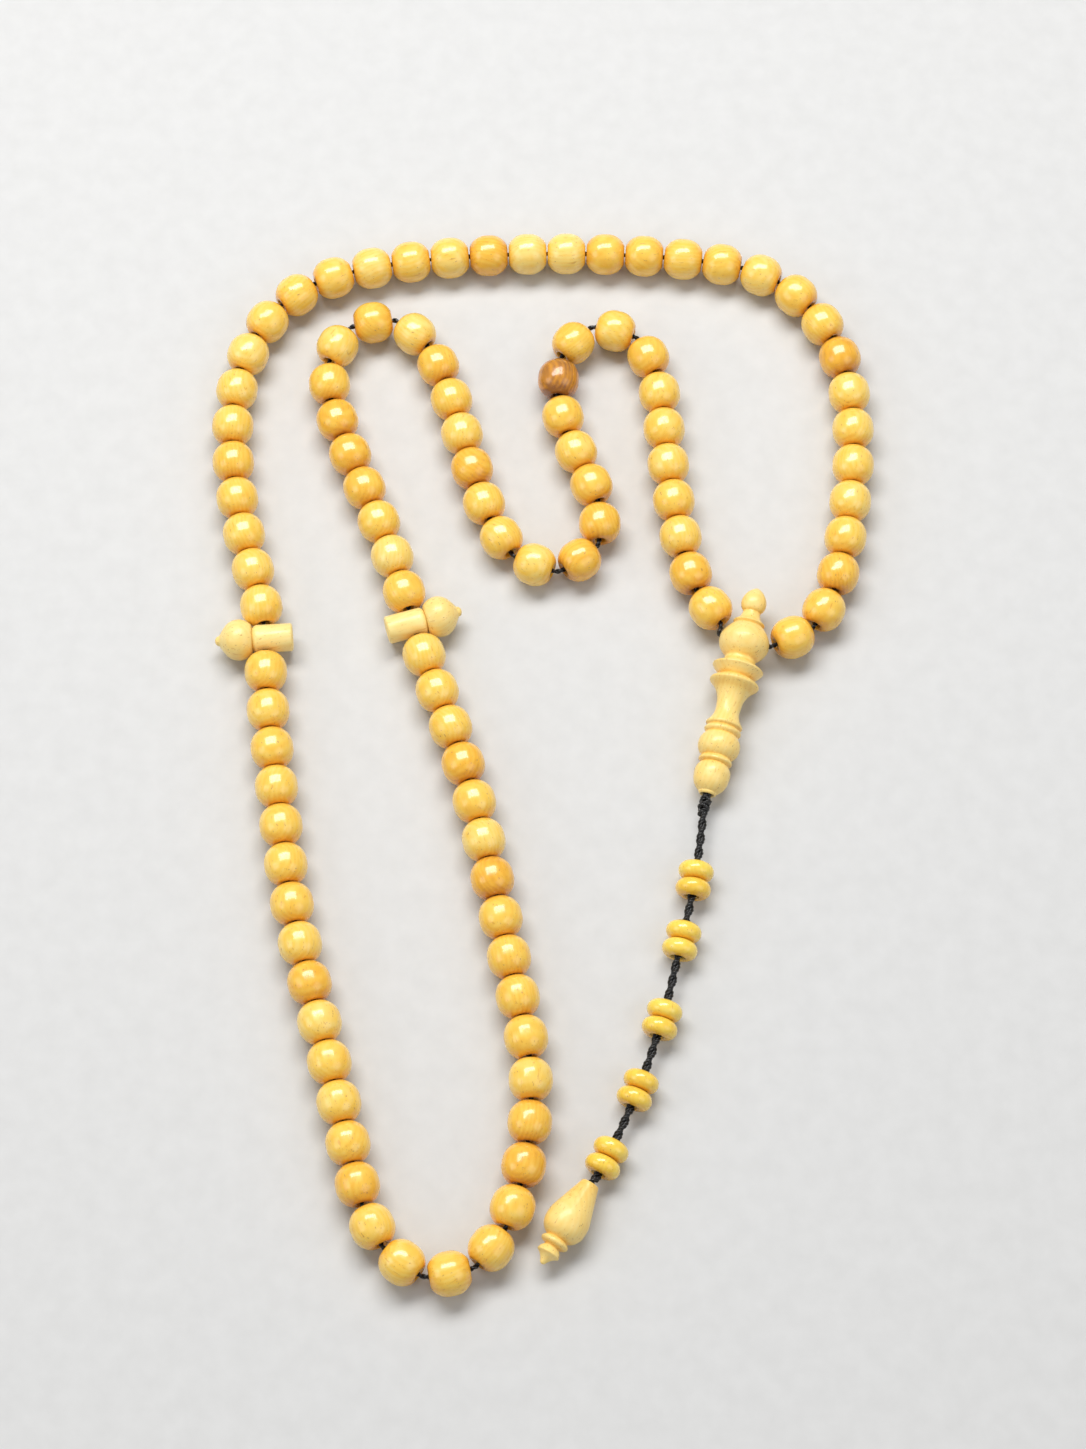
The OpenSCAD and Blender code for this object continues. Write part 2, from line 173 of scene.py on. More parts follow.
ball_middle = joint_place("head_lift")
cross_axis = -joint_axis("head_lift")
pin_middles = [joint_place("left_separator_turn"), joint_place("right_separator_turn")]
starts = [ball_middle + cross_axis * FIRST_BEAD_SIDE * MM, pin_middles[0], pin_middles[1]]
thirds = [beads_of_third(letter, start) for letter, start in zip(THIRDS, starts)]


# ---------------------------------------------------------------- shaders as expressions


class Expression:
    """A socket of a material's nodes, on which sums are written as in Python."""

    def __init__(self, shader, socket):
        self.shader = shader
        self.socket = socket

    def join(self, operation, other, turned=False):
        pair = [other, self] if turned else [self, other]
        return self.shader.add("ShaderNodeMath", {"operation": operation}, {0: pair[0], 1: pair[1]})

    def __add__(self, other):
        return self.join("ADD", other)

    def __radd__(self, other):
        return self.join("ADD", other, True)

    def __sub__(self, other):
        return self.join("SUBTRACT", other)

    def __rsub__(self, other):
        return self.join("SUBTRACT", other, True)

    def __mul__(self, other):
        return self.join("MULTIPLY", other)

    def __rmul__(self, other):
        return self.join("MULTIPLY", other, True)


class Shader:
    def __init__(self, name, **constants):
        self.material = bpy.data.materials.new(name)
        self.material.use_nodes = True
        self.tree = self.material.node_tree
        self.surface = self.tree.nodes["Principled BSDF"]
        for socket, value in constants.items():
            self.surface.inputs[socket.replace("_", " ")].default_value = value

    def add(self, kind, settings, inputs, output=0):
        made = self.tree.nodes.new(kind)
        for key, value in settings.items():
            if key == "stops":
                ramp = made.color_ramp
                while len(ramp.elements) < len(value):
                    ramp.elements.new(0.5)
                for element, (place, colour) in zip(ramp.elements, value):
                    element.position = place
                    element.color = (*colour, 1)
            else:
                setattr(made, key, value)
        for key, value in inputs.items():
            if isinstance(value, Expression):
                self.tree.links.new(value.socket, made.inputs[key])
            else:
                made.inputs[key].default_value = value
        return Expression(self, made.outputs[output])

    def attribute(self, name, output):
        return self.add("ShaderNodeAttribute", {"attribute_name": name}, {}, output)

    def scaled(self, vector, factors):
        return self.add("ShaderNodeVectorMath", {"operation": "MULTIPLY"}, {0: vector, 1: factors})

    def noise(self, vector, scale, detail=4.0, roughness=0.55):
        inputs = {"Vector": vector, "Scale": scale, "Detail": detail, "Roughness": roughness}
        return self.add("ShaderNodeTexNoise", {}, inputs)

    def between(self, value, low, high, out_low=0.0, out_high=1.0):
        inputs = {"Value": value, "From Min": low, "From Max": high, "To Min": out_low, "To Max": out_high}
        return self.add("ShaderNodeMapRange", {"interpolation_type": "SMOOTHSTEP"}, inputs)

    def ramp(self, value, stops):
        return self.add("ShaderNodeValToRGB", {"stops": stops}, {"Fac": value})

    def mixed(self, share, first, second, way="MIX"):
        settings = {"data_type": "RGBA", "blend_type": way}
        return self.add("ShaderNodeMix", settings, {0: share, 6: first, 7: second}, 2)

    def feed(self, socket, value):
        self.tree.links.new(value.socket, self.surface.inputs[socket])

    def bump(self, height, strength, distance):
        inputs = {"Height": height, "Strength": strength, "Distance": distance}
        self.feed("Normal", self.add("ShaderNodeBump", {}, inputs))


def wood(name, tones, streak_share, lathe_share, roughness, coat):
    """Fine, pale, close-grained wood. Grain runs along a piece's own axis."""
    shader = Shader(name, Coat_Weight=coat, Coat_Roughness=0.08, Specular_IOR_Level=0.5)
    place = shader.attribute("turning", "Vector")
    tone = shader.attribute("tone", "Fac")
    ends = shader.attribute("ends", "Fac")
    long_grain = shader.noise(shader.scaled(place, (1, 1, 0.14)), 1.1, 6, 0.62)
    cloud = shader.noise(place, 0.32, 3, 0.5)
    warped = shader.scaled(place, (1, 1, 0.3))
    rings = shader.add("ShaderNodeTexWave",
                       {"wave_type": "RINGS", "rings_direction": "X", "wave_profile": "SIN"},
                       {"Vector": warped, "Scale": 0.42, "Distortion": 5.5, "Detail": 3.0,
                        "Detail Scale": 0.9}, "Fac")
    pores = shader.between(shader.noise(shader.scaled(place, (1, 1, 0.35)), 3.2, 2, 0.5), 0.66, 0.72)
    dashes = shader.between(shader.noise(shader.scaled(place, (1, 1, 0.2)), 1.9, 3, 0.5), 0.63, 0.72)
    shade = tone + (cloud - 0.5) * 0.4 + (long_grain - 0.5) * streak_share + (rings - 0.5) * 0.09
    # Darker amber towards the ends and in the grooves: partly the wood's own amber, partly painted shade.
    colour = shader.ramp(shade + ends * 0.3, tones)
    amber = shader.mixed(dashes * 0.45, colour, (0.62, 0.27, 0.035, 1))
    speckled = shader.mixed(pores * 0.65, amber, (0.36, 0.14, 0.03, 1))
    shader.feed("Base Color", speckled)
    shader.feed("Roughness", roughness + long_grain * 0.12 + pores * 0.15)
    lathe = shader.add("ShaderNodeTexWave", {"wave_type": "BANDS", "bands_direction": "Z"},
                       {"Vector": place, "Scale": 1.6, "Distortion": 0.6, "Detail": 2.0}, "Fac")
    height = long_grain * 0.5 + lathe * lathe_share - pores * 0.5
    shader.bump(height, 0.16, 0.05 * MM)
    return shader.material


BEAD_TONES = [
    (0.0, (0.96, 0.73, 0.23)), (0.3, (0.95, 0.60, 0.09)), (0.55, (0.88, 0.45, 0.04)),
    (0.8, (0.64, 0.27, 0.03)), (1.0, (0.30, 0.12, 0.03))
]
TURNED_TONES = [
    (0.0, (0.96, 0.79, 0.33)), (0.4, (0.94, 0.65, 0.18)), (0.75, (0.84, 0.46, 0.07)),
    (1.0, (0.58, 0.28, 0.04))
]
DISC_TONES = [
    (0.0, (0.97, 0.80, 0.18)), (0.35, (0.96, 0.66, 0.08)), (0.7, (0.88, 0.48, 0.04)),
    (1.0, (0.5, 0.22, 0.03))
]
bead_wood = wood("polished_bead_wood", BEAD_TONES, 0.24, 0.08, 0.2, 0.55)
turned_wood = wood("turned_pale_wood", TURNED_TONES, 0.22, 0.3, 0.34, 0.2)
disc_wood = wood("amber_disc_wood", DISC_TONES, 0.24, 0.1, 0.2, 0.6)


def cord_finish():
    """Black waxed twine, with fine fibres along each strand."""
    shader = Shader("black_waxed_twine", Specular_IOR_Level=0.5)
    place = shader.add("ShaderNodeTexCoord", {}, {}, "Object")
    fibre = shader.noise(place, 5200, 3, 0.6)
    blacks = [(0.3, (0.003, 0.003, 0.003)), (0.8, (0.014, 0.013, 0.012))]
    shader.feed("Base Color", shader.ramp(fibre, blacks))
    shader.feed("Roughness", shader.between(fibre, 0.3, 0.7, 0.22, 0.36))
    shader.bump(fibre, 0.3, 0.05 * MM)
    return shader.material


twine = cord_finish()


# ---------------------------------------------------------------- making pieces


def make_active(obj):
    if bpy.context.object and bpy.context.object.mode != "OBJECT":
        bpy.ops.object.mode_set(mode="OBJECT")
    bpy.ops.object.select_all(action="DESELECT")
    obj.select_set(True)
    bpy.context.view_layer.objects.active = obj


def arc(start, end, rise, steps=8):
    """Points from start up to end on a shallow arc, which rises to the left of the way."""
    a, b = Vector(start), Vector(end)
    side = Vector((-(b - a).y, (b - a).x)).normalized()
    return [a.lerp(b, i / steps) + side * 4 * rise * (i / steps) * (1 - i / steps) for i in range(steps)]


def outline(stations):
    """Points of an outline from [distance along, radius, rise of the arc to the next] stations."""
    points = []
    for here, after in zip(stations, stations[1:]):
        steps = 8 if here[2] else 1
        points += arc(here[:2], after[:2], here[2], steps)
    return points + [Vector(stations[-1][:2])]


def turn_on_lathe(name, points, sides=56):
    """A piece turned about +Z: a ring is extruded along the outline and resized at each point."""
    least = 0.015
    rings = [(p[0] * MM, max(p[1], least) * MM) for p in points]
    bpy.ops.object.select_all(action="DESELECT")
    bpy.ops.mesh.primitive_circle_add(vertices=sides, radius=rings[0][1], location=(0, 0, rings[0][0]))
    piece = bpy.context.object
    piece.name = name
    bpy.ops.object.transform_apply(location=True, rotation=False, scale=False)
    bpy.ops.object.mode_set(mode="EDIT")
    bpy.ops.mesh.select_all(action="SELECT")
    for (z0, r0), (z1, r1) in zip(rings, rings[1:]):
        bpy.ops.mesh.extrude_region_move(TRANSFORM_OT_translate={"value": (0, 0, z1 - z0)})
        bpy.ops.transform.resize(value=(r1 / r0, r1 / r0, 1), center_override=(0, 0, z1))
    bpy.ops.mesh.select_all(action="SELECT")
    bpy.ops.mesh.remove_doubles(threshold=0.04 * MM)
    bpy.ops.mesh.normals_make_consistent(inside=False)
    bpy.ops.object.mode_set(mode="OBJECT")
    return piece


def drill(piece, at, along, width, length):
    """A round hole right through the piece."""
    bpy.ops.object.select_all(action="DESELECT")
    bpy.ops.mesh.primitive_cylinder_add(vertices=32, radius=width / 2 * MM, depth=length * MM)
    bit = bpy.context.object
    turn = Vector(along).to_track_quat("Z", "Y").to_matrix().to_4x4()
    bit.data.transform(Matrix.Translation(Vector(at) * MM) @ turn)
    make_active(piece)
    cut = piece.modifiers.new("hole", "BOOLEAN")
    cut.object = bit
    cut.operation = "DIFFERENCE"
    cut.solver = "EXACT"
    bpy.ops.object.modifier_apply(modifier=cut.name)
    bpy.data.objects.remove(bit)


GROOVE_REACH = 0.45


def grain(piece, tone, end_amber_and_shade=None, groove_amber_and_shade=None):
    """Writes where each point is in the wood, in millimetres, how dark the piece is, and how near
    a point is to an end or to a groove, where the wood is made darker amber: partly its own amber, partly painted
    shade."""
    shift = Vector([chance.uniform(-300, 300) for _ in range(3)])
    roll = Matrix.Rotation(chance.uniform(0, math.tau), 3, "Z")
    lean = Matrix.Rotation(chance.gauss(0, 0.22), 3, "X")
    places = [tuple(roll @ lean @ (vertex.co / MM) + shift) for vertex in piece.data.vertices]
    piece.data.attributes.new("turning", "FLOAT_VECTOR", "POINT")
    piece.data.attributes.new("tone", "FLOAT", "POINT")
    piece.data.attributes.new("ends", "FLOAT", "POINT")
    piece.data.attributes["turning"].data.foreach_set("vector", [x for place in places for x in place])
    piece.data.attributes["tone"].data.foreach_set("value", [tone] * len(places))
    # Near the ends and in the grooves the wood is made darker amber: partly its own amber, partly painted shade.
    ends = [0.0] * len(places)
    for i, vertex in enumerate(piece.data.vertices):
        along = vertex.co.z / MM
        if end_amber_and_shade:
            ends[i] = max(0.0, (abs(along) - end_amber_and_shade[0]) / (end_amber_and_shade[1] - end_amber_and_shade[0])) ** 1.5
        for groove in groove_amber_and_shade or []:
            ends[i] = max(ends[i], 1 - abs(along - groove) / GROOVE_REACH)
    piece.data.attributes["ends"].data.foreach_set("value", ends)


def finished(piece, material, sharp=40):
    piece.data.materials.clear()
    piece.data.materials.append(material)
    make_active(piece)
    bpy.ops.object.shade_smooth_by_angle(angle=math.radians(sharp))
    return piece


def put(piece, at, axis, roll=0.0):
    """Stands the piece's +Z along an axis at a place, in its mesh."""
    turn = Vector(axis).to_track_quat("Z", "Y").to_matrix().to_4x4()
    piece.data.transform(Matrix.Translation(at) @ turn @ Matrix.Rotation(roll, 4, "Z"))
    return piece


def stands_for(piece, body, slot, *cad):
    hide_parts(*cad)
    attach(piece, body)
    return piece


def body_of_node(node):
    for body, members in frame["record"]["behaviour"]["bodies"].items():
        if node in members:
            return body


# ---------------------------------------------------------------- string and cord


def strand(name, lines, width, sides=3):
    """Round strands along lines, as one mesh piece."""
    data = bpy.data.curves.new(name, "CURVE")
    data.dimensions = "3D"
    data.bevel_depth = width / 2 * MM
    data.bevel_resolution = sides
    data.use_fill_caps = True
    for line in lines:
        spline = data.splines.new("POLY")
        spline.points.add(len(line) - 1)
        for point, place in zip(spline.points, line):
            point.co = (*place, 1)
    piece = bpy.data.objects.new(name, data)
    bpy.context.scene.collection.objects.link(piece)
    make_active(piece)
    bpy.ops.object.convert(target="MESH")
    return bpy.context.object


def smoothed(points, rounds):
    """Corner cutting, as a limp string takes its bends."""
    for _ in range(rounds):
        cut = [points[0]]
        for a, b in zip(points, points[1:]):
            cut += [a.lerp(b, 0.25), a.lerp(b, 0.75)]
        points = cut + [points[-1]]
    return points


def line_length(points):
    return sum((b - a).length for a, b in zip(points, points[1:]))


def evenly(points, count):
    """count + 1 points, evenly spaced along a line."""
    step = line_length(points) / count
    spaced, gone, i = [points[0]], 0.0, 0
    for k in range(1, count):
        while gone + (points[i + 1] - points[i]).length < step * k:
            gone += (points[i + 1] - points[i]).length
            i += 1
        a, b = points[i], points[i + 1]
        spaced.append(a.lerp(b, (step * k - gone) / (b - a).length))
    return spaced + [points[-1]]


def twisted(line, plies, offset, lay):
    """Lines of the plies that wind round a line, one turn in each lay. The offset is a number, or
    one for each point of the line."""
    wound = [[] for _ in range(plies)]
    gone = 0.0
    for i, place in enumerate(line):
        before, after = line[max(i - 1, 0)], line[min(i + 1, len(line) - 1)]
        along = (after - before).normalized()
        side = UP.cross(along).normalized()
        up = along.cross(side)
        gone += (place - before).length if i else 0
        for k in range(plies):
            angle = math.tau * (gone / (lay * MM) + k / plies)
            reach = offset[i] if isinstance(offset, list) else offset
            wound[k].append(place + (side * math.cos(angle) + up * math.sin(angle)) * reach * MM)
    return wound


def rope(line, offset, lay):
    """Two strands laid round each other, each of three finer plies."""
    strands = twisted(line, 2, offset, lay)
    return [ply for part in strands for ply in twisted(part, 3, PLY_OFFSET, PLY_LAY)]


STRING_WIDTH = 1.0
STRING_LAY = 2.4
STRING_OFFSET = 0.22
STRING_STRAND = 0.56
CORD_LAY = 5.6
PLY_LAY = 2.3
PLY_WIDTH = 0.5
PLY_OFFSET = 0.22
STRAND_OFFSET = 0.4
BALL_WIDTH = 9.6
STRING_LEAD = 0.3
MOUTH_HOLD = 0.6

string_line = [ball_middle + cross_axis * STRING_WIDTH * MM,
               ball_middle + cross_axis * (BALL_WIDTH / 2 - MOUTH_HOLD) * MM,
               ball_middle + cross_axis * (BALL_WIDTH / 2 + STRING_LEAD) * MM]
for third in thirds:
    for _, centre, axis in third:
        string_line += [centre - axis * (BEAD_LENGTH / 2 + 0.1) * MM,
                        centre + axis * (BEAD_LENGTH / 2 + 0.1) * MM]
string_line += [ball_middle - cross_axis * (BALL_WIDTH / 2 + STRING_LEAD) * MM,
                ball_middle - cross_axis * (BALL_WIDTH / 2 - MOUTH_HOLD) * MM,
                ball_middle - cross_axis * STRING_WIDTH * MM]
string_path = smoothed(string_line, 1)
string_strands = twisted(evenly(string_path, 3000), 2, STRING_OFFSET, STRING_LAY)
main_string = strand("main_string_twine", string_strands, STRING_STRAND, 1)
finished(main_string, twine, 60)
stands_for(main_string, "loop", "cord", "main_string")
line_length(string_path)

knot_middle = joint_place("tail_swing")
mouth = joint_place("drop_spin")
drop_axis = joint_axis("drop_spin")
head_axis = (knot_middle - ball_middle).normalized()
DISC_PAIRS = 5
DISC_WIDTH = 6.6
DISC_THICKNESS = 3.3
DISC_GAP = 0.15
CORD_LEAD = 1.2
PAIR_HOLD = DISC_THICKNESS + DISC_GAP / 2 + CORD_LEAD
KNOT_WIDTH = 3.0
DROP_BORE_DEPTH = 6.0
DROP_LEAD = 1.5
SEAT_CLEAR = 1

pair_middles = [(middle_of(f"disc_{p}_upper") + middle_of(f"disc_{p}_lower")) / 2
                for p in range(1, DISC_PAIRS + 1)]
pair_axes = [joint_axis(f"disc_{p}_lower_slide") for p in range(1, DISC_PAIRS + 1)]
tail_line = [knot_middle + (pair_middles[0] - knot_middle).normalized() * KNOT_WIDTH / 2 * MM]
for centre, axis in zip(pair_middles, pair_axes):
    tail_line += [centre - axis * PAIR_HOLD * MM, centre + axis * PAIR_HOLD * MM]
tail_line += [mouth - drop_axis * DROP_LEAD * MM, mouth + drop_axis * (DROP_BORE_DEPTH - SEAT_CLEAR) * MM]
tail_path = smoothed(tail_line, 2)
tail_cord = strand("tail_cord_twine", rope(evenly(tail_path, 620), STRAND_OFFSET, CORD_LAY), PLY_WIDTH, 2)
finished(tail_cord, twine, 60)
stands_for(tail_cord, "tail", "cord", "tail_cord")


KNOT_START = -1.95
KNOT_END = 2.5
KNOT_SWELL = 0.4
KNOT_STEPS = 90
OVER_LAY = 2.9
ACROSS_LAY = -3.4


def knot_lines():
    """A stopper knot, in which the same strands swell into a short plait below the mouth."""
    shares = [i / KNOT_STEPS for i in range(KNOT_STEPS + 1)]
    line = [knot_middle + head_axis * (KNOT_START + (KNOT_END - KNOT_START) * share) * MM for share in shares]
    swell = [STRAND_OFFSET + KNOT_SWELL * math.sin(math.pi * share) ** 1.4 for share in shares]
    over = twisted(line, 2, swell, OVER_LAY)
    across = twisted(line, 2, [reach * 0.8 for reach in swell], ACROSS_LAY)
    return [ply for part in over + across for ply in twisted(part, 3, 0.24, PLY_LAY)]


knot = strand("stopper_knot", knot_lines(), PLY_WIDTH, 2)
finished(knot, twine, 60)
stands_for(knot, "tail", "cord", "tail_knot")
line_length(tail_path)


# ---------------------------------------------------------------- beads


def bead_outline():
    """From the middle of the bore out over one end, down the flank and back up the bore."""
    half, flat, bore = BEAD_LENGTH / 2, FLAT_WIDTH / 2, BEAD_BORE / 2
    rise = BEAD_WIDTH / 2 - flat
    shoulder_length = half - BELLY / 2
    shoulder = (shoulder_length ** 2 + rise ** 2) / (2 * rise)
    centre = BEAD_WIDTH / 2 - shoulder
    end_angle = math.asin(shoulder_length / shoulder) * 0.97
    upper = [(0, bore), (half - 0.55, bore), (half - 0.3, bore + 0.07), (half - 0.1, bore + 0.22),
             (half, bore + 0.42), (half, flat - 0.22)]
    steps = 12
    flank = [(BELLY / 2 + shoulder * math.sin(end_angle * (1 - i / steps)),
              centre + shoulder * math.cos(end_angle * (1 - i / steps))) for i in range(steps + 1)]
    half_way = upper + flank
    return half_way + [(-z, r) for z, r in reversed(half_way)]


bead_blank = turn_on_lathe("bead_blank", bead_outline(), 40)

VERY_PALE = {("a", 17), ("a", 18), ("c", 2)}
DARK = {("c", 23): 0.86, ("a", 9): 0.56, ("b", 27): 0.52, ("b", 20): 0.5, ("b", 9): 0.46, ("c", 14): 0.5}


def bead_tone(letter, number):
    if (letter, number) in VERY_PALE:
        return 0.12
    return DARK.get((letter, number), chance.triangular(0.16, 0.5, 0.29))


def carved_beads():
    by_node = {}
    for letter, third in zip(THIRDS, thirds):
        for number, (node, centre, axis) in enumerate(third, 1):
            bead = bead_blank.copy()
            bead.data = bead_blank.data.copy()
            bpy.context.scene.collection.objects.link(bead)
            # The bead's end edges darken to amber: partly the wood's own amber, partly painted shade.
            grain(bead, bead_tone(letter, number), (2.1, BEAD_LENGTH / 2))
            put(bead, centre, axis, chance.uniform(0, math.tau))
            by_node.setdefault(node, []).append(bead)
    for node, beads in by_node.items():
        make_active(beads[0])
        for bead in beads:
            bead.select_set(True)
        if len(beads) > 1:
            bpy.ops.object.join()
        piece = bpy.context.object
        piece.name = f"turned_{node}"
        finished(piece, bead_wood, 50)
        stands_for(piece, body_of_node(node), "bead_wood", node)


carved_beads()
bpy.data.objects.remove(bead_blank)


# ---------------------------------------------------------------- disc beads


DISC_BORE = 2.3
RIM_STEPS = 18


def disc_outline():
    """From the middle of the bore out through its wide mouth, round the rim and back."""
    half, bore = DISC_THICKNESS / 2, DISC_BORE / 2
    rim = DISC_WIDTH / 2 - half
    upper = [(0, bore), (half - 0.9, bore), (half - 0.45, bore + 0.1), (half - 0.12, bore + 0.24),
             (half, bore + 0.38)]
    angles = [math.pi * i / RIM_STEPS for i in range(RIM_STEPS + 1)]
    round_rim = [(half * math.cos(angle), rim + half * math.sin(angle)) for angle in angles]
    lower = [(-z, r) for z, r in reversed(upper)]
    return upper + round_rim + lower


for pair in range(1, DISC_PAIRS + 1):
    for place in ("upper", "lower"):
        node = f"disc_{pair}_{place}"
        disc = turn_on_lathe(f"turned_{node}", disc_outline(), 48)
        grain(disc, chance.triangular(0.22, 0.52, 0.34), (0.8, DISC_THICKNESS / 2))
        put(disc, middle_of(node), joint_axis(f"{node}_slide"), chance.uniform(0, math.tau))
        finished(disc, disc_wood, 50)
        stands_for(disc, node, "disc_wood", node)


# ---------------------------------------------------------------- head piece

UPPER_LENGTH = 18.4
LOWER_LENGTH = 23.6
BALL_FROM_TIP = 10.8
CORE_BORE = 2.0
SPIGOT_WIDTH = 4.3
SPIGOT_LENGTH = 3.4
SOCKET_WIDTH = SPIGOT_WIDTH + 0.1
SOCKET_END = UPPER_LENGTH - SPIGOT_LENGTH - 0.3
HEAD_CORD_START = 1.1

upper_stations = [
    [0, 0, 0], [0.05, 0.3, 0.38], [2.7, 2.35, 0.3], [4.9, 1.65, -0.35], [7.1, 2.95, 0.08],
    [7.45, 2.9, 0], [7.7, 2.75, 0.25], [BALL_FROM_TIP, BALL_WIDTH / 2, 0.5], [14.2, 3.15, 0],
    [14.3, 3.05, -0.12], [15.2, 3.1, -0.22], [16.3, 4.66, 0.16], [16.85, 4.69, 0.06], [18.35, 3.25, 0],
    [UPPER_LENGTH, 3.2, 0]
]
upper_inside = [
    (UPPER_LENGTH, SOCKET_WIDTH / 2), (SOCKET_END, SOCKET_WIDTH / 2), (SOCKET_END, CORE_BORE / 2),
    (BALL_FROM_TIP, CORE_BORE / 2), (BALL_FROM_TIP, 0)
]
lower_stations = [
    [0, 3.2, 0], [0.05, 3.25, 0], [0.8, 4.5, 0.16], [1.5, 4.55, -0.6], [5.9, 2.35, -0.45],
    [9.5, 3.45, 0.12], [10.05, 3.15, 0], [10.25, 3.05, 0], [10.4, 3.2, 0.3], [11.4, 3.15, 0],
    [11.6, 3.02, 0], [11.8, 3.1, 0.22], [13.8, 3.95, 0.3], [16.05, 2.95, 0], [16.2, 2.85, 0],
    [16.4, 2.9, 0.42], [17.35, 2.65, 0], [17.5, 2.55, 0], [17.65, 2.65, 0.32], [20.1, 3.35, 0.42],
    [23.05, 1.75, 0.05], [23.5, 1.55, 0.03], [LOWER_LENGTH, 1.35, 0]
]
lower_inside = [
    (LOWER_LENGTH - 0.15, CORE_BORE / 2 + 0.12), (LOWER_LENGTH - 0.5, CORE_BORE / 2),
    (-SPIGOT_LENGTH, CORE_BORE / 2), (-SPIGOT_LENGTH, SPIGOT_WIDTH / 2), (-0.05, SPIGOT_WIDTH / 2),
    (0, 3.2)
]

joint_middle = ball_middle + head_axis * (UPPER_LENGTH - BALL_FROM_TIP) * MM
tip = ball_middle - head_axis * BALL_FROM_TIP * MM


def aimed(piece, at, axis, level):
    """Stands +Z along an axis with +X along a level direction square to it."""
    x = Vector(level).normalized()
    z = Vector(axis).normalized()
    turn = Matrix((x, z.cross(x), z)).transposed().to_4x4()
    piece.data.transform(Matrix.Translation(at) @ turn)
    return piece


head_upper = turn_on_lathe("turned_head_upper", outline(upper_stations) + upper_inside, 72)
drill(head_upper, (0, 0, BALL_FROM_TIP), (1, 0, 0), CORE_BORE, BALL_WIDTH + 2)
# The grooves darken to amber: partly the wood's own amber, partly painted shade.
grain(head_upper, 0.3, groove_amber_and_shade=(4.9, 7.6, 14.4, 15.3, 18.3))
aimed(head_upper, tip, head_axis, cross_axis)
finished(head_upper, turned_wood, 38)
stands_for(head_upper, "head_piece", "turned_wood", "head_upper")

head_lower = turn_on_lathe("turned_head_lower", outline(lower_stations) + lower_inside, 72)
grain(head_lower, 0.33, groove_amber_and_shade=(0.1, 2.2, 10.2, 11.6, 16.2, 17.5))
aimed(head_lower, joint_middle, head_axis, cross_axis)
finished(head_lower, turned_wood, 38)
stands_for(head_lower, "head_piece", "turned_wood", "head_lower")

inner_line = evenly([ball_middle + head_axis * HEAD_CORD_START * MM,
                     ball_middle + head_axis * (UPPER_LENGTH + LOWER_LENGTH - BALL_FROM_TIP) * MM], 240)
head_cord = strand("head_cord_twine", rope(inner_line, STRAND_OFFSET, CORD_LAY), PLY_WIDTH, 2)
finished(head_cord, twine, 60)
stands_for(head_cord, "head_piece", "cord", "head_cord")


# ---------------------------------------------------------------- end drop

DROP_LENGTH = 16.8
DROP_BORE = 2.2
drop_stations = [
    [0.1, 1.5, 0], [0, 1.62, 0.02], [0.3, 1.75, 0], [6, 3.6, 0.15], [8.7, 3.95, 0.48], [11.45, 2.2, 0],
    [11.6, 2.05, 0], [11.7, 2.15, 0.58], [13, 1.95, 0], [13.15, 1.45, 0], [13.3, 1.4, 0.12],
    [14.4, 2.1, 0.1], [14.8, 2.0, -0.16], [16.3, 0.6, 0.12], [DROP_LENGTH, 0, 0]
]
drop_inside = [(DROP_BORE_DEPTH, 0), (DROP_BORE_DEPTH, DROP_BORE / 2), (0.6, DROP_BORE / 2)]
drop = turn_on_lathe("turned_end_drop", drop_inside + outline(drop_stations), 72)
grain(drop, 0.32, groove_amber_and_shade=(0.2, 11.6, 13.2))
aimed(drop, mouth, drop_axis, UP.cross(drop_axis))
finished(drop, turned_wood, 38)
stands_for(drop, "end_drop", "turned_wood", "end_drop")


# ---------------------------------------------------------------- separators

PIN_WIDTH = 5.3
PIN_LENGTH = 7.6
PIN_HOLE_FROM_CAP = 2.4
PIN_HOLE = 1.7
CAP_LENGTH = 7.0
PEG_WIDTH = 2.4
PEG_LENGTH = 2.6
PEG_HOLE_WIDTH = PEG_WIDTH + 0.1
PEG_HOLE_DEPTH = PEG_LENGTH + 0.3
pin_r = PIN_WIDTH / 2

pin_points = outline([
    [0.35, 0, -0.02], [0.12, pin_r - 0.5, 0], [0, pin_r - 0.32, 0.03], [0.3, pin_r, 0],
    [PIN_LENGTH - 0.9, pin_r, 0.14], [PIN_LENGTH, pin_r - 0.75, 0], [PIN_LENGTH + 0.01, PEG_WIDTH / 2, 0],
    [PIN_LENGTH + PEG_LENGTH, PEG_WIDTH / 2, 0], [PIN_LENGTH + PEG_LENGTH, 0, 0]
])
cap_inside = [(PEG_HOLE_DEPTH, 0), (PEG_HOLE_DEPTH, PEG_HOLE_WIDTH / 2), (0, PEG_HOLE_WIDTH / 2)]
cap_points = cap_inside + outline([
    [0, pin_r - 0.2, 0.1], [0.5, 3.15, 0.14], [2.3, 3.9, 0.42], [5.2, 2.5, 0.02], [6.1, 1.15, -0.05],
    [6.6, 0.85, 0.12], [CAP_LENGTH, 0, 0]
])

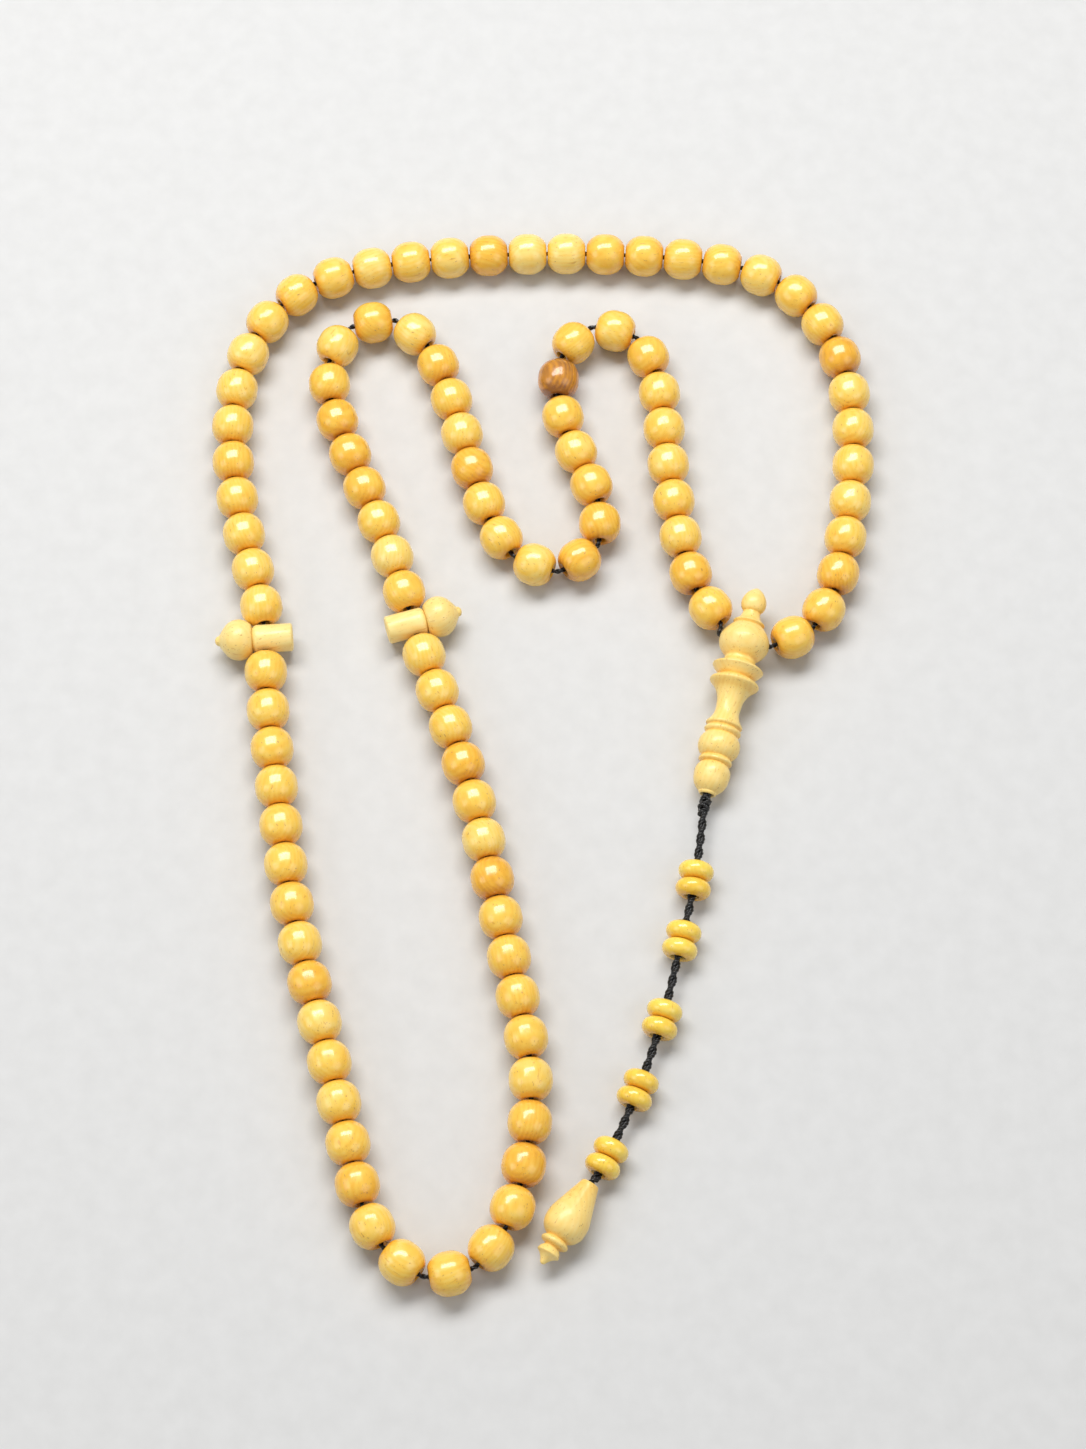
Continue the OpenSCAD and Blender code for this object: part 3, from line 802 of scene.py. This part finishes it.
for side, place, axis in (("left", pin_middles[0], joint_axis("left_separator_turn")),
                          ("right", pin_middles[1], joint_axis("right_separator_turn"))):
    out = axis.cross(UP).normalized()
    body = f"{side}_separator"
    if (middle_of(f"{body}_cap") - place).dot(out) < 0:
        out = -out
    pin = turn_on_lathe(f"turned_{body}_pin", pin_points, 56)
    hole = PIN_LENGTH - PIN_HOLE_FROM_CAP
    drill(pin, (0, 0, hole), (1, 0, 0), PIN_HOLE, PIN_WIDTH + 2)
    grain(pin, 0.2)
    aimed(pin, place - out * hole * MM, out, axis)
    finished(pin, turned_wood, 38)
    stands_for(pin, body, "turned_wood", f"{body}_pin")
    cap = turn_on_lathe(f"turned_{body}_cap", cap_points, 56)
    grain(cap, 0.27)
    aimed(cap, place + out * PIN_HOLE_FROM_CAP * MM, out, axis)
    finished(cap, turned_wood, 38)
    stands_for(cap, body, "turned_wood", f"{body}_cap")


# ---------------------------------------------------------------- table and light


def table_top():
    bpy.ops.object.select_all(action="DESELECT")
    bpy.ops.mesh.primitive_plane_add(size=6, location=(0, 0, 0))
    table = bpy.context.object
    table.name = "table_top"
    shader = Shader("pale_table", Roughness=0.75)
    place = shader.add("ShaderNodeTexCoord", {}, {}, "Object")
    speckle = shader.noise(place, 240, 3, 0.5)
    greys = [(0.3, (0.60, 0.595, 0.58)), (0.7, (0.63, 0.625, 0.61))]
    shader.feed("Base Color", shader.ramp(speckle, greys))
    table.data.materials.append(shader.material)


def soft_light(name, at, size, power, colour=(1, 1, 1)):
    data = bpy.data.lights.new(name, "AREA")
    data.shape = "RECTANGLE"
    data.size, data.size_y = size
    data.energy = power
    data.color = colour
    light = bpy.data.objects.new(name, data)
    light.location = at
    light.rotation_euler = (Vector(at) - target).to_track_quat("Z", "Y").to_euler()
    bpy.context.scene.collection.objects.link(light)


table_top()
soft_light("window", (-0.1, 0.42, 0.85), (0.95, 0.36), 10.2)
soft_light("room", (0.8, -0.5, 0.8), (0.9, 0.9), 3.0)
soft_light("side", (-0.9, -0.2, 0.6), (0.6, 0.6), 2.0)
world = bpy.data.worlds.new("studio")
world.use_nodes = True
world.node_tree.nodes["Background"].inputs["Color"].default_value = (0.9, 0.93, 1, 1)
world.node_tree.nodes["Background"].inputs["Strength"].default_value = 0.27
bpy.context.scene.world = world
